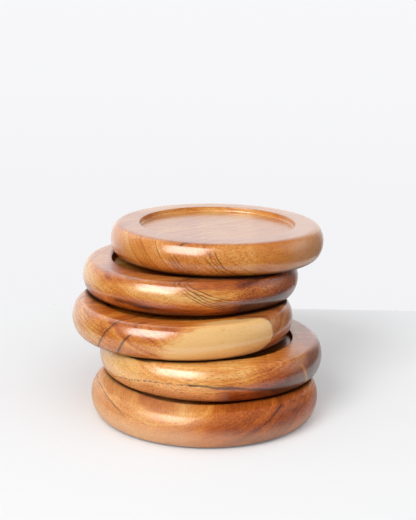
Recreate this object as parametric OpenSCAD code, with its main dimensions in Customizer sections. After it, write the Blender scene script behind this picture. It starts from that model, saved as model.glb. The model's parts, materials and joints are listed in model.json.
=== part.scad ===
// Set of five round wooden drink coasters, stacked by hand with each one pushed a little off the one below.
// Every coaster is turned from one solid disc of wood: a raised flat rim, a shallow round recess
// for the glass and a full, crowned outer edge. The stack stands on its lowest coaster.
// The origin is the centre of the lowest coaster's underside, +Z is up and +Y is towards the back.

/* [Coaster] */
// Outer diameter of each coaster
coaster_d = 100; // [90:1:120]
// Thickness of each coaster
coaster_h = 15; // [12:0.5:20]

/* [Outer edge] */
// Width of the rounded edge, from the widest point in to where the flat faces start
edge_w = 5; // [4.75:0.25:5.75]
// Radius of the rounded corners at the top and the bottom of the edge
corner_r = 4; // [2:0.25:4.25]

/* [Recess] */
// Diameter of the recess that the glass stands in
recess_d = 73; // [60:1:76]
// Depth of the recess below the rim
recess_depth = 2.5; // [2:0.25:5]
// Radius of the cove between the wall and the floor of the recess
cove_r = 1; // [0.4:0.1:1.2]
// Radius of the eased lip at the top of the recess wall
lip_r = 0.5; // [0.2:0.1:0.6]

/* [Hidden] */
NODES = ["bottom_coaster", "second_coaster", "third_coaster", "fourth_coaster", "top_coaster"];

// How far each coaster lies to the right of the lowest one, and behind it, as shares of the diameter
sideways_shares = [0, 0.026, -0.105, -0.074, 0.047];
backwards_shares = [0, 0.124, 0.194, 0.345, 0.438];

round_fn = 256; // sides that stand for a full turn of the coaster
arc_fn = 96; // sides that stand for a full circle in the section
overrun = 1; // how far cuts run past the wood

coaster_r = coaster_d / 2;
recess_r = recess_d / 2;
mid_h = coaster_h / 2;
floor_h = coaster_h - recess_depth;

// Between the corner arcs the edge is a crowned band: an arc through the widest point that runs
// smoothly into both corners, which is the case at just one radius
flat_r = coaster_r - edge_w;
corner_rise = mid_h - corner_r;
crown_r = (pow(edge_w, 2) + pow(corner_rise, 2) - pow(corner_r, 2)) / (2 * (edge_w - corner_r));
crown_x = coaster_r - crown_r;
corner_reach = flat_r - crown_x;
wedge_scale = ceil(2 * crown_r / corner_reach); // how many times past the corner's centre the wedge reaches

// Half section of the crowned band, cut off where the corner arcs take over
module crown_section() {
    wedge_x = wedge_scale * corner_reach;
    wedge_z = wedge_scale * corner_rise;
    translate([crown_x, mid_h])
        intersection() {
            circle(crown_r, $fn = 2 * arc_fn);
            polygon([[0, 0], [wedge_x, wedge_z], [wedge_x, -wedge_z]]);
        }
}

// Half section of the plain disc, before the recess is turned
module blank_section() {
    square([flat_r, coaster_h]);
    for (corner_h = [corner_r, coaster_h - corner_r])
        translate([flat_r, corner_h]) circle(corner_r, $fn = arc_fn);
    crown_section();
}

// Half section of the recess: a flat floor, a cove, a short upright wall and an eased lip
module recess_section() {
    translate([0, floor_h]) square([recess_r - cove_r, recess_depth + overrun]);
    translate([0, floor_h + cove_r]) square([recess_r, recess_depth]);
    translate([recess_r - cove_r, floor_h + cove_r]) circle(cove_r, $fn = arc_fn);
    difference() {
        translate([0, coaster_h - lip_r]) square([recess_r + lip_r, lip_r + overrun]);
        translate([recess_r + lip_r, coaster_h - lip_r]) circle(lip_r, $fn = arc_fn);
    }
}

// One turned coaster, standing on its own underside
module turned_coaster() {
    rotate_extrude($fn = round_fn)
        difference() {
            blank_section();
            recess_section();
        }
}

// A coaster at its place in the stack: its level is its place in the list of names, from the bottom up
module stacked_coaster(name) {
    level = search([name], NODES)[0];
    translate([coaster_d * sideways_shares[level], coaster_d * backwards_shares[level], coaster_h * level])
        turned_coaster();
}

module bottom_coaster() { color([0.76, 0.49, 0.27]) stacked_coaster("bottom_coaster"); }
module second_coaster() { color([0.79, 0.53, 0.31]) stacked_coaster("second_coaster"); }
module third_coaster() { color([0.83, 0.62, 0.38]) stacked_coaster("third_coaster"); }
module fourth_coaster() { color([0.71, 0.43, 0.22]) stacked_coaster("fourth_coaster"); }
module top_coaster() { color([0.78, 0.50, 0.28]) stacked_coaster("top_coaster"); }

bottom_coaster();
second_coaster();
third_coaster();
fourth_coaster();
top_coaster();
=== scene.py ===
# Five turned wooden drink coasters, stacked a little out of line on a pale table in soft studio light.
import json
import math

import bpy
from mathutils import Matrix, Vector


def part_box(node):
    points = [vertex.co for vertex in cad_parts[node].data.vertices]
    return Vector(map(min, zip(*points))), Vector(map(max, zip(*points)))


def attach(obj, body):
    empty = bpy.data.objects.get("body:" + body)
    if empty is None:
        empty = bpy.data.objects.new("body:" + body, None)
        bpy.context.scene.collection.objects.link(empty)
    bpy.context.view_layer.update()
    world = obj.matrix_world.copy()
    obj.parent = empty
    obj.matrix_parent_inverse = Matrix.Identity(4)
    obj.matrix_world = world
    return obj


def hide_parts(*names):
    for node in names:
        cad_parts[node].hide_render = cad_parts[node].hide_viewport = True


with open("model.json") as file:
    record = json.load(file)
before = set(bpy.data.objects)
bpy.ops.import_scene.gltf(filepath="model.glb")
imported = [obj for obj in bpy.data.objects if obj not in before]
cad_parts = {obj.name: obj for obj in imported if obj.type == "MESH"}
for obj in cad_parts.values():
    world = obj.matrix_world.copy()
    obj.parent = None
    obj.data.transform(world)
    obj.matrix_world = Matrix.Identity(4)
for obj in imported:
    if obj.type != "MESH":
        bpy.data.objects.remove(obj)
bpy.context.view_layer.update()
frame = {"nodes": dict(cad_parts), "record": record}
print("frame loaded:", len(frame["nodes"]), "coasters")

millimetre = 0.001


# a colour as it is written on screen, 0 to 255, turned into the linear light that the nodes work in
def paint(red, green, blue):
    linear = []
    for level in (red / 255, green / 255, blue / 255):
        linear.append(level / 12.92 if level <= 0.04045 else ((level + 0.055) / 1.055) ** 2.4)
    return (*linear, 1.0)


# joins a link, or writes a plain value, into one socket
def plug(tree, socket, value):
    if isinstance(value, Wire):
        tree.links.new(value.socket, socket)
    else:
        socket.default_value = value


# one output socket, so that shader maths reads as ordinary sums
class Wire:
    def __init__(self, tree, socket):
        self.tree = tree
        self.socket = socket

    def maths(self, operation, first, second):
        made = self.tree.nodes.new("ShaderNodeMath")
        made.operation = operation
        plug(self.tree, made.inputs[0], first)
        plug(self.tree, made.inputs[1], second)
        return Wire(self.tree, made.outputs[0])

    def __add__(self, other):
        return self.maths("ADD", self, other)

    def __radd__(self, other):
        return self.maths("ADD", other, self)

    def __sub__(self, other):
        return self.maths("SUBTRACT", self, other)

    def __rsub__(self, other):
        return self.maths("SUBTRACT", other, self)

    def __mul__(self, other):
        return self.maths("MULTIPLY", self, other)

    def __rmul__(self, other):
        return self.maths("MULTIPLY", other, self)

    def __truediv__(self, other):
        return self.maths("DIVIDE", self, other)

    def __pow__(self, other):
        return self.maths("POWER", self, other)


# a node tree that is being filled, for a material or for the world
class Finish:
    def __init__(self, tree):
        self.tree = tree
        tree.nodes.clear()

    # adds one node: settings first, then values or links; gives back the output that is asked for
    def node(self, kind, settings, sockets, out=0):
        made = self.tree.nodes.new(kind)
        for name, value in settings.items():
            if name == "stops":
                self.colourStops(made.color_ramp, value)
            else:
                setattr(made, name, value)
        for name, value in sockets.items():
            plug(self.tree, made.inputs[name], value)
        if isinstance(out, tuple):
            return [Wire(self.tree, made.outputs[name]) for name in out]
        if made.outputs:
            return Wire(self.tree, made.outputs[out])
        return None

    def colourStops(self, ramp, stops):
        while len(ramp.elements) < len(stops):
            ramp.elements.new(1.0)
        for element, (position, colour) in zip(ramp.elements, stops):
            element.position = position
            element.color = colour

    def smooth(self, value, low, high):
        sockets = {"Value": value, "From Min": low, "From Max": high}
        return self.node("ShaderNodeMapRange", {"interpolation_type": "SMOOTHSTEP"}, sockets)

    def blend(self, amount, first, second):
        return self.node("ShaderNodeMix", {"data_type": "RGBA"}, {0: amount, 6: first, 7: second}, 2)

    def vector(self, operation, first, second, out=0):
        return self.node("ShaderNodeVectorMath", {"operation": operation}, {0: first, 1: second}, out)

    def split(self, vector):
        return self.node("ShaderNodeSeparateXYZ", {}, {0: vector}, ("X", "Y", "Z"))

    # soft cloudy noise of a size given in the vector's own units along each axis
    def clouds(self, vector, size, detail, out="Fac"):
        sockets = {"Vector": self.vector("DIVIDE", vector, size), "Scale": 1.0, "Detail": detail}
        return self.node("ShaderNodeTexNoise", {}, sockets, out)

    # patches of that noise with soft edges
    def patches(self, vector, kind):
        return self.smooth(self.clouds(vector, kind["size"], kind["detail"]), *kind["edge"])

    # the same noise along one line
    def bands(self, along, detail):
        sockets = {"W": along, "Scale": 1.0, "Detail": detail}
        return self.node("ShaderNodeTexNoise", {"noise_dimensions": "1D"}, sockets, "Fac")

    # how long a vector is
    def length(self, vector):
        return self.vector("LENGTH", vector, (0, 0, 0), "Value")


def newMaterial(name):
    material = bpy.data.materials.new(name)
    material.use_nodes = True
    return material


def onlyThis(piece):
    bpy.ops.object.select_all(action="DESELECT")
    piece.select_set(True)
    bpy.context.view_layer.objects.active = piece


# the sizes of the turning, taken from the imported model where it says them
lowCorner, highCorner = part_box("bottom_coaster")
mounts = {mount["name"]: mount for mount in frame["record"]["mounts"]}
turning = {
    "radius": round((highCorner.x - lowCorner.x) / 2, 4),  # the model's facets fall just short of it
    "height": highCorner.z - lowCorner.z,
    "edgeWidth": 5.0 * millimetre,  # from the widest point in to where the flat faces start
    "cornerRadius": 4.0 * millimetre,
    "recessRadius": mounts["glass_recess"]["dims"]["r_mm"] * millimetre,
    "recessDepth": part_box("top_coaster")[1].z - mounts["glass_seat"]["pos_m"][2],
    "coveRadius": 1.0 * millimetre,
    "lipRadius": 0.5 * millimetre,
    "clear": 0.02 * millimetre,  # below the underside, so that no two faces coincide
    "roundSteps": 256,
    "arcSteps": 12,
    "flatStep": 3.0 * millimetre,
    "merge": 0.001 * millimetre,  # points closer than this become one
}


# points along an arc, angles in degrees from the outward direction
def arc(centreX, centreZ, radius, start, end, steps):
    points = []
    for step in range(steps + 1):
        angle = math.radians(start + (end - start) * step / steps)
        points.append((centreX + radius * math.cos(angle), centreZ + radius * math.sin(angle)))
    return points


# points along a flat, without the first
def straight(first, last, longest):
    steps = max(1, round(math.dist(first, last) / longest))
    points = []
    for step in range(1, steps + 1):
        share = step / steps
        points.append((first[0] + (last[0] - first[0]) * share, first[1] + (last[1] - first[1]) * share))
    return points


# half section from the middle of the underside, round the edge and into the middle of the recess floor
def halfSection(sizes):
    flat = sizes["radius"] - sizes["edgeWidth"]
    corner = sizes["cornerRadius"]
    height = sizes["height"]
    rise = height / 2 - corner
    crown = (sizes["edgeWidth"] ** 2 + rise ** 2 - corner ** 2) / (2 * (sizes["edgeWidth"] - corner))
    crownX = sizes["radius"] - crown
    meet = math.degrees(math.atan2(rise, flat - crownX))  # where the crown runs into the corners
    wall = sizes["recessRadius"]
    lip = sizes["lipRadius"]
    cove = sizes["coveRadius"]
    floor = height - sizes["recessDepth"]
    steps = sizes["arcSteps"]
    points = straight((0, sizes["clear"]), (flat, sizes["clear"]), sizes["flatStep"])
    points += arc(flat, corner, corner, -90, -meet, steps)[1:]
    points += arc(crownX, height / 2, crown, -meet, meet, 2 * steps)[1:]
    points += arc(flat, height - corner, corner, meet, 90, steps)[1:]
    points += straight((flat, height), (wall + lip, height), sizes["flatStep"])
    points += arc(wall + lip, height - lip, lip, 90, 180, steps // 2)[1:]
    points += straight((wall, height - lip), (wall, floor + cove), sizes["flatStep"])
    points += arc(wall - cove, floor + cove, cove, 0, -90, steps)[1:]
    points += straight((wall - cove, floor), (0, floor), sizes["flatStep"])
    return points


# turns one coaster from its half section, standing at the origin
def turnCoaster(name, sizes):
    bpy.ops.object.select_all(action="DESELECT")
    bpy.ops.mesh.primitive_plane_add(size=millimetre, location=(0, 0, sizes["clear"]))
    piece = bpy.context.object
    piece.name = name
    bpy.ops.object.mode_set(mode="EDIT")
    bpy.ops.mesh.select_all(action="SELECT")
    bpy.ops.mesh.merge(type="CENTER")
    before = (0, sizes["clear"])
    for point in halfSection(sizes):
        step = (point[0] - before[0], 0, point[1] - before[1])
        bpy.ops.mesh.extrude_region_move(TRANSFORM_OT_translate={"value": step})
        before = point
    bpy.ops.mesh.select_all(action="SELECT")
    bpy.ops.mesh.spin(steps=sizes["roundSteps"], angle=2 * math.pi, center=(0, 0, 0), axis=(0, 0, 1))
    bpy.ops.mesh.select_all(action="SELECT")
    bpy.ops.mesh.remove_doubles(threshold=sizes["merge"])
    bpy.ops.mesh.normals_make_consistent(inside=False)
    bpy.ops.object.mode_set(mode="OBJECT")
    bpy.ops.object.shade_smooth()
    return piece


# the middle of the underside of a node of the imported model
def seatOf(node):
    low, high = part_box(node)
    return ((low.x + high.x) / 2, (low.y + high.y) / 2, low.z)


# moves a copy of the turned coaster to its seat, with the place in its mesh
def stackCoaster(pattern, name, seat):
    onlyThis(pattern)
    bpy.ops.object.duplicate(linked=False)
    piece = bpy.context.object
    piece.name = name
    piece.data.name = name
    bpy.ops.transform.translate(value=seat)
    bpy.ops.object.transform_apply(location=True, rotation=True, scale=True)
    return piece


# what holds for a sheet, line or zone whose own dictionary doesn't say otherwise; lengths in mm
usual = {
    "waves": (9, 9, 20),  # from one bend of a sheet to the next
    "wavy": 2.0,  # how far it bends
    "soft": 2.0,  # the edge of a zone along a sheet
    "fade": 3.0,  # the edge of a zone or line along an axis
    "gaps": 0.3,  # from 0, an unbroken line, to 1, hardly a line
    "gapEdge": 0.25,
    "thinnest": 0.2,  # a line's width varies from this share of it upwards
    "edge": (0.2, 1.1),  # where the line's colour fades, as shares of the width
    "breaks": (0.42, 0.58),  # the part of the noise that breaks a line into dashes
    "depth": 0.75,  # how much of the wood's colour a line covers
}


# a wavy sheet through the wood: how far off it a point lies, and the noise along it
def woodSheet(wood, local, sheet):
    tilt = (math.radians(sheet["lean"]), 0, math.radians(sheet["turn"]))
    sockets = {"Vector": local, "Location": sheet["at"], "Rotation": tilt}
    flat = wood.node("ShaderNodeMapping", {"vector_type": "TEXTURE"}, sockets)
    wave, strength, ragged = wood.split(wood.clouds(flat, usual["waves"], detail=4.0, out="Color"))
    off = wood.split(flat)[2]
    return off + (wave - 0.5) * sheet.get("wavy", usual["wavy"]), strength, ragged


# how far a point lies from an upright line
def fromUpright(wood, local, line):
    return wood.length(wood.vector("MULTIPLY", wood.vector("SUBTRACT", local, line), (1, 1, 0)))


# keeps a mark to a stretch along x, y or z, or to a ring round the coaster's axis
def within(wood, mask, local, limits):
    places = wood.split(local)
    if "fromAxis" in limits:
        places.append(fromUpright(wood, local, (0, 0, 0)))
    fade = limits.get("fade", usual["fade"])
    for axis, place in zip(("x", "y", "z", "fromAxis"), places):
        if axis in limits:
            low, high = limits[axis]
            mask = mask * wood.smooth(place, low - fade, low) * (1 - wood.smooth(place, high, high + fade))
    return mask


# one or more thin dark lines where the surface cuts a sheet
def darkLine(wood, local, line):
    off, strength, ragged = woodSheet(wood, local, line)
    wide = line["width"] * (usual["thinnest"] + ragged)
    mark = 0.0
    for beside in line.get("beside", (0,)):
        away = wood.node("ShaderNodeMath", {"operation": "ABSOLUTE"}, {0: off - beside})
        mark = mark + (1 - wood.smooth(away / wide, *usual["edge"]))
    gaps = line.get("gaps", usual["gaps"])
    mark = mark * wood.smooth(strength, gaps, gaps + usual["gapEdge"])
    if "dash" in line:
        dashes = wood.clouds(local, (line["dash"],) * 3, detail=1.0)
        mark = mark * wood.smooth(dashes, *usual["breaks"])
    return within(wood, mark, local, line) * line.get("depth", usual["depth"])


# the wood on one side of each of a few sheets
def woodZone(wood, local, zone):
    mask = 1.0
    for side in zone.get("sides", ()):
        off = woodSheet(wood, local, side)[0]
        soft = side.get("soft", usual["soft"])
        mask = mask * wood.smooth(off * side.get("face", 1), -soft, soft)
    return within(wood, mask, local, zone)


palette = {
    "umber": paint(62, 22, 4),
    "russet": paint(137, 55, 8),
    "orange": paint(190, 94, 20),
    "gold": paint(226, 143, 52),
    "pale": paint(246, 193, 116),
    "ash": paint(128, 96, 76),
    "line": paint(36, 14, 6),
    "stain": paint(84, 34, 10),
    "pore": paint(84, 38, 12),
    # painted shade: the dark colour laid in the crease at each foot and under the coaster above
    "foot": paint(34, 12, 4),
    # painted sheen: a pale haze laid over the wood where the lacquer would mirror the pale table and
    # backdrop
    "milk": paint(232, 206, 176),
}
tones = ("umber", "russet", "orange", "gold", "pale")  # from dark to pale, evenly spaced

# the figure that all five share; sizes are in mm along and across the grain
timber = {
    "crook": (60, 20, 20),  # slow bends of the grain
    "ripple": (10, 3, 3),
    "broad": 3.7,  # years to one broad band of tone
    "close": 0.8,
    "late": 4.0,  # how sharply a year darkens towards its end
    "leastLate": 0.35,  # what is left of that dark line where it fades
    "faint": {"size": (25, 9, 9), "detail": 2.0, "edge": (0.38, 0.62)},  # where it fades
    "streak": {"size": (17, 0.5, 0.5), "detail": 4.0, "edge": (0.3, 0.7)},
    "thread": {"size": (24, 0.32, 0.32), "detail": 2.0, "edge": (0.56, 0.74)},
    "fleck": {"size": (2.0, 0.55, 0.55), "detail": 1.0, "edge": (0.55, 0.68)},
    "cloud": (14, 7, 7),
    "pore": (2.4, 0.62, 0.62),
    "poreEdge": (0.14, 0.4),
    "poreChance": (0.25, 0.75),
    "fleckDepth": 0.6,  # beside the depth of a pore's colour
}
lacquer = {
    "underneath": 0.42,  # roughness of the wood under it
    "inPores": 0.12,  # how much rougher the pores are
    "onStreaks": 0.08,  # how much smoother the streaks are
    "onRub": 0.4,  # how much rougher the lacquer is where the contact shade is painted
    "streakHeight": 0.4,  # beside the depth of a pore
    "bump": 0.25,
    "bumpDepth": 0.05 * millimetre,
    "specular": 0.15,
    "ior": 1.9,
}

# painted shade: the lower corner of each coaster, where shade falls in the crease against what it stands
# on, is painted dark and has no lacquer; lengths in mm
paintedFootShade = {
    "inside": 42.0,  # from the axis, where it begins on the underside
    "outside": 45.0,  # where it is full
    "low": 0.2,  # above the underside, where it begins to fade
    "depth": 0.97,
}

# painted shade: under the foot of the coaster above, the rim is darkened in a narrow ring, and the recess
# that shows beside it in a crescent, where shade falls between the coasters; mm from the axis of the
# coaster above
paintedContactShade = {
    "inside": 43.4,  # where the ring begins
    "from": 44.6,  # where it is full
    "fade": 2.8,
    "above": 14.0,  # from this height upwards
    "recessInside": 35.0,  # the same for the crescent
    "recessFrom": 40.0,
    "recessAbove": 8.0,
    "rise": 0.5,  # over which both begin
    "lipEdge": 0.2,  # either side of the lip, where one gives way to the other
    "depth": 0.93,
}


# the log's own straight space, the same bent by the grain, and the year that a point grew in
def growLog(wood, local, look):
    tilt = [math.radians(angle) for angle in look["grain"]]
    log = wood.node("ShaderNodeMapping", {"vector_type": "TEXTURE"}, {"Vector": local, "Rotation": tilt})
    grown = log
    for bend, reach in ((timber["crook"], look["sway"]), (timber["ripple"], look["ripple"])):
        shift = wood.vector("SUBTRACT", wood.clouds(log, bend, detail=2.0, out="Color"), (0.5, 0.5, 0.5))
        grown = wood.vector("ADD", grown, wood.vector("MULTIPLY", shift, (0, reach, reach)))
    fromPith = wood.vector("MULTIPLY", wood.vector("SUBTRACT", grown, (0, *look["pith"])), (0, 1, 1))
    return log, grown, wood.length(fromPith) / look["ring"]


# how much the figure lightens the wood, from broad bands and closer ones to one dark line for each year
def woodFigure(wood, log, grown, year, streak, look):
    broad = wood.bands(year / timber["broad"], detail=1.0)
    close = wood.bands(year / timber["close"], detail=3.0)
    season = wood.node("ShaderNodeMath", {"operation": "FRACT"}, {0: year})
    count = wood.node("ShaderNodeMath", {"operation": "FLOOR"}, {0: year})
    luck = wood.node("ShaderNodeTexWhiteNoise", {"noise_dimensions": "1D"}, {"W": count}, "Value")
    faint = wood.patches(grown, timber["faint"])
    late = season ** timber["late"] * luck * (timber["leastLate"] + (1 - timber["leastLate"]) * faint)
    thread = wood.patches(grown, timber["thread"])
    cloud = wood.clouds(log, timber["cloud"], detail=3.0)
    lively = (broad - 0.5) * look["broad"] + (close - 0.5) * look["close"]
    lively = lively + (streak - 0.5) * look["streak"] + (cloud - 0.5) * look["figure"]
    return lively - late * look["years"] - thread * faint * look["threads"]


# short pores, drawn out along the grain
def woodPores(wood, grown):
    sockets = {"Vector": wood.vector("DIVIDE", grown, timber["pore"]), "Scale": 1.0}
    near, shade = wood.node("ShaderNodeTexVoronoi", {}, sockets, ("Distance", "Color"))
    chance = wood.split(shade)[0]
    return (1 - wood.smooth(near, *timber["poreEdge"])) * wood.smooth(chance, *timber["poreChance"])


# painted shade round the lower corner, where the coaster meets what it stands on
def paintFootShade(wood, local, look):
    up = wood.split(local)[2]
    foot = wood.smooth(fromUpright(wood, local, (0, 0, 0)), paintedFootShade["inside"], paintedFootShade["outside"])
    return foot * (1 - wood.smooth(up, paintedFootShade["low"], look["foot"]))


# painted shade on the rim under the coaster above, and a crescent of it in the recess beside
def paintContactShade(wood, local, above, look):
    up = wood.split(local)[2]
    lip = turning["recessRadius"] / millimetre
    fromAxis = fromUpright(wood, local, (0, 0, 0))
    onRim = wood.smooth(fromAxis, lip - paintedContactShade["lipEdge"], lip + paintedContactShade["lipEdge"])
    away = fromUpright(wood, local, above)
    ring = onRim * wood.smooth(away, paintedContactShade["inside"], paintedContactShade["from"])
    ring = ring * wood.smooth(up, paintedContactShade["above"], paintedContactShade["above"] + paintedContactShade["rise"])
    crescent = (1 - onRim) * wood.smooth(away, paintedContactShade["recessInside"], paintedContactShade["recessFrom"])
    crescent = crescent * wood.smooth(up, paintedContactShade["recessAbove"], paintedContactShade["recessAbove"] + paintedContactShade["rise"])
    fade = 1 - wood.smooth(away, look["rub"], look["rub"] + paintedContactShade["fade"])
    return (ring + crescent * look["worn"]) * fade * paintedContactShade["depth"]


# oiled and lacquered wood, cut from a log whose pith, grain and marks stand in look
def coasterWood(name, seat, look, above):
    material = newMaterial(name)
    wood = Finish(material.node_tree)
    here = wood.node("ShaderNodeTexCoord", {}, {}, "Object")
    sockets = {"Vector": here, "Location": seat, "Scale": (millimetre,) * 3}
    local = wood.node("ShaderNodeMapping", {"vector_type": "TEXTURE"}, sockets)
    log, grown, year = growLog(wood, local, look)
    streak = wood.patches(grown, timber["streak"])
    pore = woodPores(wood, grown)
    dots = pore + timber["fleckDepth"] * wood.patches(grown, timber["fleck"])

    effects = {"lighter": look["tone"], "pores": look["pores"], "calm": 0.0, "ash": 0.0, "milk": 0.0}
    for zone in look["zones"]:
        mask = woodZone(wood, local, zone)
        for effect in effects:
            if effect in zone:
                effects[effect] = mask * zone[effect] + effects[effect]
    figure = woodFigure(wood, log, grown, year, streak, look)
    tone = figure * (1.0 - effects["calm"]) + effects["lighter"]
    stops = [(place / (len(tones) - 1), palette[hue]) for place, hue in enumerate(tones)]
    colour = wood.node("ShaderNodeValToRGB", {"stops": stops}, {"Fac": tone}, "Color")
    colour = wood.blend(effects["ash"], colour, palette["ash"])
    colour = wood.blend(dots * effects["pores"], colour, palette["pore"])
    for line in look["lines"]:
        colour = wood.blend(darkLine(wood, local, line), colour, palette[line.get("hue", "line")])
    # painted sheen: the pale haze of reflected table and backdrop
    colour = wood.blend(effects["milk"], colour, palette["milk"])
    # painted shade at the foot, with the lacquer left off there
    foot = paintFootShade(wood, local, look)
    colour = wood.blend(foot * paintedFootShade["depth"], colour, palette["foot"])
    # painted shade under the coaster above, with the lacquer left off there
    rub = 0.0
    if above:
        rub = paintContactShade(wood, local, above, look)
        colour = wood.blend(rub, colour, palette["foot"])

    rough = lacquer["underneath"] + lacquer["inPores"] * pore - lacquer["onStreaks"] * streak
    height = streak * lacquer["streakHeight"] - pore
    sockets = {"Height": height, "Strength": lacquer["bump"], "Distance": lacquer["bumpDepth"]}
    shine = {
        "Base Color": colour,
        "Roughness": rough + lacquer["onRub"] * rub,
        "Normal": wood.node("ShaderNodeBump", {}, sockets),
        "Specular IOR Level": lacquer["specular"],
        "Coat Weight": (1 - foot) * (1 - rub) * look["coat"],
        "Coat Roughness": look["gloss"],
        "Coat IOR": lacquer["ior"],
    }
    surface = wood.node("ShaderNodeBsdfPrincipled", {}, shine)
    wood.node("ShaderNodeOutputMaterial", {}, {"Surface": surface})
    return material


# what a user would change in each coaster's wood, in degrees and mm; a zone is the wood within its limits
# from the middle of the underside, and a line shows where the surface cuts a sheet
bottomLook = {
    "grain": (0, 0, 90),  # how the log is turned
    "pith": (21, 80),  # where its centre line runs
    "ring": 2.4,  # width of a year's growth
    "sway": 7.0,  # how far the grain wanders slowly
    "ripple": 0.8,
    "gloss": 0.28,  # roughness of the lacquer
    "coat": 0.4,  # how much of it there is
    "foot": 1.0,  # how high the painted shade at the foot reaches
    "rub": 46.4,  # where the painted contact shade under the coaster above starts to fade
    "worn": 0.0,  # how strong the painted crescent of shade in the recess is
    "tone": 0.74,  # from 0, dark, to 1, pale
    "broad": 0.45,  # from here on, how strong each part of the figure is
    "close": 0.35,
    "streak": 0.17,
    "figure": 0.4,
    "pores": 0.42,
    "years": 0.2,
    "threads": 0.2,
    "zones": [
        {"lighter": 0.03, "ash": 0.07, "z": (-5, 20)},
        {"lighter": 0.14, "x": (38, 70), "z": (13.5, 20), "fade": 2.0},
        {"lighter": -0.08, "x": (-40, -18), "z": (12, 20), "fade": 4.0},
        # darker towards the right: partly the wood's own tone, partly painted shade on the side away from
        # the soft box
        {"lighter": -0.27, "x": (24, 70), "fade": 34.0},
        # painted sheen low on the left, with calmer figure
        {"calm": 0.4, "milk": 0.2, "z": (-5, 5), "x": (-60, 10), "fade": 5.0},
        {"lighter": -0.06, "x": (4, 60), "z": (9, 20), "fade": 4.0},
        # painted sheen: a pale grey haze low on the right
        {"milk": 0.18, "ash": 0.14, "x": (15, 70), "z": (-5, 4), "fade": 5.0},
        # painted sheen on the left
        {"milk": 0.14, "x": (-60, -10), "fade": 12.0},
        {"lighter": -0.12, "x": (33, 41), "z": (6, 13), "fade": 4.0},
        {"lighter": -0.14, "x": (-12, 26), "z": (-5, 7), "fade": 9.0},
    ],
    "lines": [
        {"at": (-41, -22.4, 13), "lean": 39, "turn": 105, "width": 0.6, "wavy": 1.6, "gaps": 0.3,
         "hue": "stain", "z": (11, 20)},
        {"at": (27.1, -38.9, 11.6), "lean": 25, "turn": -66, "width": 0.6, "wavy": 2.4, "gaps": 0.3,
         "z": (8, 20)},
        {"at": (39.2, -28.8, 11.8), "lean": 53, "turn": 55, "width": 0.5, "wavy": 3.0, "gaps": 0.45,
         "beside": (0, 2.2)},
    ],
}
secondLook = {
    "grain": (12, 0, 4), "pith": (0, -160), "ring": 1.6, "sway": 7.0, "ripple": 0.8,
    "gloss": 0.25, "coat": 0.95, "foot": 1.5, "rub": 46.6, "worn": 0.8,
    "tone": 0.88, "broad": 0.4, "close": 0.35, "streak": 0.17, "figure": 0.3,
    "pores": 0.48, "years": 0.2, "threads": 0.25,
    "zones": [
        # darker towards the right: partly the wood's own tone, partly painted shade on the side away from
        # the soft box
        {"lighter": -0.38, "x": (30, 70), "fade": 18.0},
        # lower left: darker towards the underside, painted shade, with painted sheen laid over it
        {"lighter": -0.12, "milk": 0.16, "pores": 0.4, "x": (-70, 6), "z": (-5, 4), "fade": 3.0},
        # painted shade: darker low on the right, near the crease against the coaster below
        {"lighter": -0.5, "x": (10, 70), "z": (-5, 3), "fade": 10.0},
        {"ash": 0.4, "x": (38, 70), "fade": 8.0},
        {"lighter": 0.12, "x": (24, 70), "z": (14, 20), "fade": 1.0},
        {"lighter": 0.07, "x": (-70, -34), "fade": 6.0},
        # painted shade: darker low in the middle, near the crease against the coaster below
        {"lighter": -0.08, "x": (-10, 10), "z": (-5, 4), "fade": 5.0},
        {"lighter": -0.22, "x": (43, 70), "fade": 4.0},
    ],
    "lines": [
        {"at": (-4.5, -44.4, 6.7), "lean": 16, "turn": 170, "width": 0.6, "wavy": 2.4, "gaps": 0.2,
         "x": (-70, -6), "dash": 1.0},
        {"at": (-4.5, -44.4, 6.7), "lean": 16, "turn": 170, "width": 1.1, "wavy": 2.4, "gaps": 0.0,
         "x": (-8, 70)},
        # painted reflection: a bright gold streak on the right end stands in for a glint
        {"at": (39.8, -29.0, 8.0), "lean": 57, "turn": 143, "width": 1.8, "wavy": 1.5, "gaps": 0.0,
         "x": (34, 60), "z": (2, 11), "fade": 1.5, "hue": "gold", "depth": 0.5},
        {"at": (-4.5, -44.4, 4.5), "lean": 16, "turn": 170, "width": 0.35, "wavy": 3.0, "gaps": 0.45,
         "hue": "stain"},
    ],
}
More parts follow.
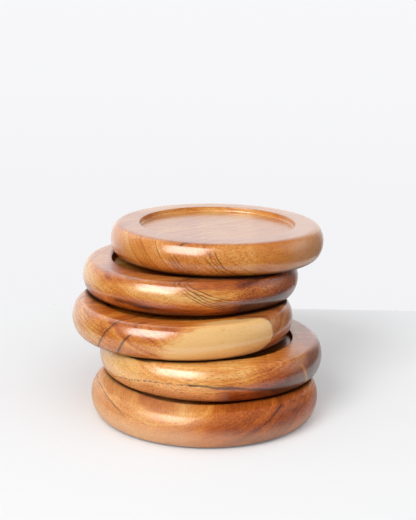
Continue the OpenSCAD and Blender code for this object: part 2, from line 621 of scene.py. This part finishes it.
thirdLook = {
    "grain": (20, 0, 15), "pith": (0, -120), "ring": 2.0, "sway": 9.0, "ripple": 0.8,
    "gloss": 0.21, "coat": 1.0, "foot": 2.0, "rub": 47.5, "worn": 0.0,
    "tone": 0.71, "broad": 0.36, "close": 0.35, "streak": 0.2, "figure": 0.3,
    "pores": 0.42, "years": 0.25, "threads": 0.3,
    "zones": [
        {
            "lighter": 0.4,
            "calm": 0.3,
            # with a little painted sheen laid over the pale patch
            "milk": 0.1,
            "pores": -0.3,
            "sides": [
                {"at": (-1.1, -48.2, 10.9), "lean": 51, "turn": -128, "face": -1, "soft": 5.0},
                {"at": (37.4, -30.9, 9.3), "lean": 76, "turn": 18, "face": 1, "soft": 0.6},
            ],
        },
        {
            "lighter": -0.14,
            "ash": 0.2,
            "sides": [{"at": (37.4, -30.9, 9.3), "lean": 76, "turn": 18, "face": -1, "soft": 1.5}],
            "x": (25, 70),
        },
        # painted shade: darker towards the underside
        {"lighter": -0.12, "z": (-5, 1.5), "fade": 4.0},
        {"lighter": 0.09, "x": (-70, -24), "z": (-5, 12), "fade": 3.0},
        {"lighter": 0.06, "x": (-70, -36), "z": (2, 16), "fade": 5.0},
        {"lighter": -0.07, "x": (-40, 10), "z": (14, 20), "fade": 1.5},
        {"lighter": -0.14, "x": (-33, -25), "z": (4, 12), "fade": 4.0},
        {"lighter": -0.07, "x": (-70, 0), "z": (10, 20), "fade": 3.0},
    ],
    "lines": [
        {"at": (-31.2, -37.3, 9.1), "lean": 51, "turn": -137, "width": 0.8, "wavy": 2.0, "gaps": 0.2},
        {"at": (-30.2, -37.3, 9.1), "lean": 51, "turn": -137, "width": 1.2, "wavy": 2.0, "gaps": 0.35,
         "hue": "stain", "depth": 0.4},
        {"at": (-22.2, -43.7, 8.0), "lean": 54, "turn": -154, "width": 0.9, "wavy": 2.0, "gaps": 0.2,
         "x": (-40, -21), "fade": 2.0},
        {"at": (37.4, -30.9, 9.3), "lean": 76, "turn": 18, "width": 0.8, "wavy": 2.5, "x": (25, 60),
         "depth": 0.5},
        {"at": (-41, -28, 10), "lean": 12, "turn": 60, "width": 0.5, "wavy": 2.0, "gaps": 0.35,
         "beside": (-2.2, 0, 1.5, 3.2), "x": (-60, -34), "hue": "stain", "depth": 0.5},
    ],
}
fourthLook = {
    "grain": (10, 0, 12), "pith": (0, -100), "ring": 2.2, "sway": 9.0, "ripple": 0.8,
    "gloss": 0.22, "coat": 1.0, "foot": 2.2, "rub": 48.0, "worn": 0.5,
    "tone": 0.75, "broad": 0.36, "close": 0.3, "streak": 0.17, "figure": 0.3,
    "pores": 0.38, "years": 0.2, "threads": 0.2,
    "zones": [
        {
            "lighter": -0.2,
            "pores": 0.7,
            "sides": [{"at": (4.9, -48.9, 8.7), "lean": 35, "turn": 49, "soft": 1.5}],
            "x": (24, 70),
            "fade": 7.0,
        },
        # painted shade: darker towards the underside
        {"lighter": -0.4, "z": (-5, 4), "fade": 5.0},
        {"lighter": 0.1, "x": (-70, 10), "z": (4, 12), "fade": 4.0},
        {"lighter": -0.24, "x": (-36, 60), "z": (13.5, 20), "fade": 2.5},
        {"lighter": -0.08, "x": (24, 36), "fade": 10.0},
        {"ash": 0.22, "z": (14.8, 20), "fade": 0.4},
    ],
    "lines": [
        {"at": (4.9, -48.9, 8.7), "lean": 35, "turn": 49, "width": 0.4, "wavy": 1.4, "x": (-6, 14),
         "fade": 5.0, "gaps": 0.3, "beside": (-0.9, 0, 1.0), "depth": 0.7},
        {"at": (6.9, -48.8, 9.9), "lean": 26, "turn": 50, "width": 0.4, "wavy": 1.4, "x": (-6, 16),
         "fade": 5.0, "gaps": 0.3, "beside": (0, 1.1)},
        {"at": (24.3, -42.0, 6.9), "lean": 5, "turn": 119, "width": 0.4, "wavy": 1.4, "x": (14, 60),
         "dash": 0.9},
        # painted reflection: a pale grey band low on the right stands in for the lacquer mirroring the
        # table
        {"at": (24.3, -42.0, 5.6), "lean": 5, "turn": 119, "width": 0.9, "wavy": 1.4, "x": (12, 60),
         "hue": "ash", "gaps": 0.1, "depth": 0.55},
        {"at": (-23, -43, 4.2), "lean": 4, "turn": 90, "width": 2.0, "wavy": 1.5, "gaps": 0.0,
         "x": (-31, -16), "hue": "stain", "depth": 0.85},
        {"at": (-43.5, 0, 14.5), "lean": 90, "turn": 74, "width": 0.9, "wavy": 1.5, "gaps": 0.2,
         "x": (-60, -36), "y": (-12, 30), "hue": "ash", "depth": 0.6},
        {"at": (-24.6, -39.5, 14.7), "lean": 90, "turn": 143, "width": 0.5, "wavy": 0.5, "gaps": 0.0,
         "x": (-27, -22), "z": (14, 20), "fade": 1.0},
    ],
}
topLook = {
    "grain": (49, 0, 41), "pith": (0, -200), "ring": 2.0, "sway": 6.0, "ripple": 0.8,
    "gloss": 0.22, "coat": 1.0, "foot": 2.9, "rub": 46.0, "worn": 0.0,
    "tone": 0.64, "broad": 0.24, "close": 0.28, "streak": 0.2, "figure": 0.25,
    "pores": 0.3, "years": 0.2, "threads": 0.25,
    "zones": [
        {"lighter": 0.1, "x": (-70, -26), "fade": 16.0},
        {"lighter": 0.14, "y": (28, 70), "fade": 10.0},
        {"calm": 0.5, "lighter": 0.05, "x": (20, 70), "fade": 14.0},
        {"lighter": 0.11, "x": (-6, 14), "z": (0, 13), "fade": 6.0},
        # painted sheen at the far right
        {"milk": 0.2, "x": (38, 70), "z": (-5, 14), "fade": 10.0},
        # painted shade: darker towards the underside
        {"lighter": -0.1, "z": (-5, 2), "x": (-60, 20), "fade": 5.0},
        {"lighter": -0.08, "z": (14.5, 20), "fade": 0.5},
        {"ash": 0.34, "z": (14.8, 20), "fade": 0.4},
        {"ash": 0.34, "fromAxis": (0, 36.3), "z": (5, 12.6), "fade": 0.2},
    ],
    "lines": [
        {"at": (-24.8, -42.4, 9.1), "lean": 52, "turn": 46, "width": 0.4, "wavy": 1.4, "gaps": 0.35,
         "x": (-30, -4), "depth": 0.6},
        {"at": (-17.5, -46.0, 6.0), "lean": 50, "turn": 44, "width": 0.7, "wavy": 1.8, "gaps": 0.3,
         "beside": (-1.2, 0, 1.4), "x": (-20, 0), "z": (0, 8), "depth": 0.5},
        {"at": (1.2, -48.9, 6.1), "lean": 67, "turn": 31, "width": 0.4, "wavy": 2.2, "gaps": 0.3,
         "beside": (-1.0, 0, 1.2), "x": (-4, 16), "z": (0, 11), "fade": 2.0, "depth": 0.6},
        {"at": (-15.2, -44.9, 14.2), "lean": 90, "turn": 20, "width": 1.0, "wavy": 0.5, "gaps": 0.0,
         "x": (-16.5, -13.5), "z": (13.5, 20), "fade": 0.8},
    ],
}

# from the bottom up: what each coaster's node, which is its body too, and its slot start with, and its wood
coasters = [
    ("bottom", bottomLook),
    ("second", secondLook),
    ("third", thirdLook),
    ("fourth", fourthLook),
    ("top", topLook),
]
pattern = turnCoaster("turnedPattern", turning)
print("one coaster turned:", len(pattern.data.polygons), "faces")
seats = [seatOf(level + "_coaster") for level, look in coasters]
for place, (level, look) in enumerate(coasters):
    node = level + "_coaster"
    seat = seats[place]
    above = None  # where the axis of the coaster above stands, in mm from this one's
    if place + 1 < len(seats):
        higher = seats[place + 1]
        above = ((higher[0] - seat[0]) / millimetre, (higher[1] - seat[1]) / millimetre, 0)
    piece = stackCoaster(pattern, level + "Coaster", seat)
    piece.data.materials.append(coasterWood(level + "Wood", seat, look, above))
    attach(piece, node)
    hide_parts(node)
    level + "_wood"
    print("stacked:", piece.name)
bpy.data.objects.remove(pattern, do_unlink=True)

# a small table top, which ends a hand's breadth behind the stack, as in the photograph, with the backdrop
# beyond it; in metres
table = {
    "drop": 0.1 * millimetre,  # how far the top lies below the stack, so that no two faces share a plane
    "back": 0.158,
    "front": -0.128,
    "left": -0.168,
    "right": 0.145,
    "thick": 18 * millimetre,
    "edge": 2 * millimetre,
    "edgeSteps": 3,
    "roughness": 0.8,
    "specular": 0.2,
    "colour": paint(229, 230, 231),
    "glow": paint(97, 97, 98),  # for the camera alone, so that the table stays pale beside the stack
}


def layTable():
    middle = ((table["left"] + table["right"]) / 2, (table["front"] + table["back"]) / 2)
    bpy.ops.object.select_all(action="DESELECT")
    bpy.ops.mesh.primitive_cube_add(size=1, location=(*middle, -table["drop"] - table["thick"] / 2))
    top = bpy.context.object
    top.name = "table"
    size = (table["right"] - table["left"], table["back"] - table["front"], table["thick"])
    bpy.ops.transform.resize(value=size)
    bpy.ops.object.transform_apply(location=True, rotation=True, scale=True)
    bpy.ops.object.mode_set(mode="EDIT")
    bpy.ops.mesh.select_all(action="SELECT")
    bpy.ops.mesh.bevel(offset=table["edge"], segments=table["edgeSteps"], affect="EDGES")
    bpy.ops.object.mode_set(mode="OBJECT")
    material = newMaterial("tableTop")
    paintWork = Finish(material.node_tree)
    seen = paintWork.node("ShaderNodeLightPath", {}, {}, "Is Camera Ray")
    glow = paintWork.blend(seen, (0.0, 0.0, 0.0, 1.0), table["glow"])
    sockets = {
        "Base Color": table["colour"],
        "Roughness": table["roughness"],
        "Specular IOR Level": table["specular"],
        "Emission Color": glow,
        "Emission Strength": 1.0,
    }
    surface = paintWork.node("ShaderNodeBsdfPrincipled", {}, sockets)
    paintWork.node("ShaderNodeOutputMaterial", {}, {"Surface": surface})
    top.data.materials.append(material)


layTable()

# turns are degrees to the right of straight back, rises are degrees up; a patch of the room grows from none
# to full between two cosines of the angle from its middle
studio = {
    "low": paint(243, 243, 245),  # backdrop just above the table
    "high": paint(248, 248, 250),
    "haze": (-0.28, 0.05),  # where one turns into the other, as the height of the view's direction
    "room": 0.14,  # how bright the room round the camera shows in the lacquer
    "screen": {"turn": -18, "rise": 16, "none": 0.42, "full": 0.86, "level": 1.2},  # the backdrop
    "card": {"turn": 82, "rise": 22, "none": 0.9, "full": 0.98, "level": 0.52},  # a reflector at the right
    "window": {"turn": -85, "rise": 45, "none": 0.4, "full": 1.0, "level": 0.09},
    "fill": 0.88,  # soft light from all round
    "horizon": (-0.2, 0.05),  # where it begins
    "rightward": 0.25,  # how much more of it comes from the right
    "forward": 0.4,  # and from the camera's side
    "aside": 0.4,  # how much of it comes from low down, as a share of what comes from straight above
    "boxTurn": -142,  # where both soft boxes hang
    "boxRise": 38,
    "lamp": {"away": 2.6, "wide": 1.3, "high": 1.5, "power": 39.0},  # lights the wood
    "shine": {"away": 2.4, "wide": 1.7, "high": 1.7, "power": 51.0},  # in front, shows in the lacquer alone
}


# the direction of a turn and a rise
def towards(turn, rise):
    turn = math.radians(turn)
    rise = math.radians(rise)
    return (math.sin(turn) * math.cos(rise), math.cos(turn) * math.cos(rise), math.sin(rise))


# how much of a soft patch of the room lies in each direction
def patch(room, way, place):
    near = room.vector("DOT_PRODUCT", way, towards(place["turn"], place["rise"]), "Value")
    return room.smooth(near, place["none"], place["full"]) * place["level"]


# a soft box that either lights the wood or shows in its lacquer
def hangBox(name, lamp, mirrored):
    place = [lamp["away"] * part for part in towards(studio["boxTurn"], studio["boxRise"])]
    facing = (math.radians(90 - studio["boxRise"]), 0, math.radians(180 - studio["boxTurn"]))
    bpy.ops.object.light_add(type="AREA", location=place, rotation=facing)
    box = bpy.context.object
    box.name = name
    box.data.shape = "RECTANGLE"
    box.data.size = lamp["wide"]
    box.data.size_y = lamp["high"]
    box.data.energy = lamp["power"]
    box.visible_glossy = mirrored
    box.visible_diffuse = not mirrored


# the camera sees the backdrop, the lacquer mirrors the room, and all else gets the soft fill light
def lightStudio():
    world = bpy.data.worlds.new("studio")
    bpy.context.scene.world = world
    world.use_nodes = True
    room = Finish(world.node_tree)
    way = room.node("ShaderNodeTexCoord", {}, {}, "Generated")
    right, back, up = room.split(way)
    backdrop = room.blend(room.smooth(up, *studio["haze"]), studio["low"], studio["high"])
    rays = ("Is Camera Ray", "Is Glossy Ray", "Is Transmission Ray")
    camera, glossy, through = room.node("ShaderNodeLightPath", {}, {}, rays)
    seen = camera + through
    mirrored = studio["room"] + patch(room, way, studio["card"]) + patch(room, way, studio["window"])
    screen = patch(room, way, studio["screen"])
    mirrored = room.node("ShaderNodeMath", {"operation": "MAXIMUM"}, {0: mirrored, 1: screen})
    above = room.node("ShaderNodeMath", {"operation": "MAXIMUM"}, {0: up, 1: 0.0})
    fill = studio["aside"] + (1 - studio["aside"]) * above
    fill = fill * (1 + studio["rightward"] * right - studio["forward"] * back)
    fill = fill * room.smooth(up, *studio["horizon"]) * studio["fill"]
    strength = seen + glossy * mirrored + (1 - seen) * (1 - glossy) * fill
    colour = room.blend(seen + glossy, (1.0, 1.0, 1.0, 1.0), backdrop)
    surface = room.node("ShaderNodeBackground", {}, {"Color": colour, "Strength": strength})
    room.node("ShaderNodeOutputWorld", {}, {"Surface": surface})
    hangBox("softBox", studio["lamp"], False)
    hangBox("softBoxShine", studio["shine"], True)


lightStudio()
print("table and studio light set")

# the camera stands where the photograph was taken from; metres and degrees, lens and sensor in mm
shot = {
    "place": (0.0006, -0.4491, 0.1781),
    "pitch": 13.87,
    "roll": 1.01,
    "lens": 74.07,
    "sensor": 36.0,
    "nearest": 0.01,
}


def placeCamera():
    bpy.ops.object.camera_add(location=shot["place"])
    camera = bpy.context.object
    camera.rotation_mode = "XYZ"
    camera.rotation_euler = (math.radians(90 - shot["pitch"]), 0, 0)
    camera.rotation_euler.rotate_axis("Z", math.radians(shot["roll"]))
    camera.data.lens = shot["lens"]
    camera.data.sensor_width = shot["sensor"]
    camera.data.clip_start = shot["nearest"]
    bpy.context.scene.camera = camera


placeCamera()
bpy.context.scene.view_settings.view_transform = "Standard"
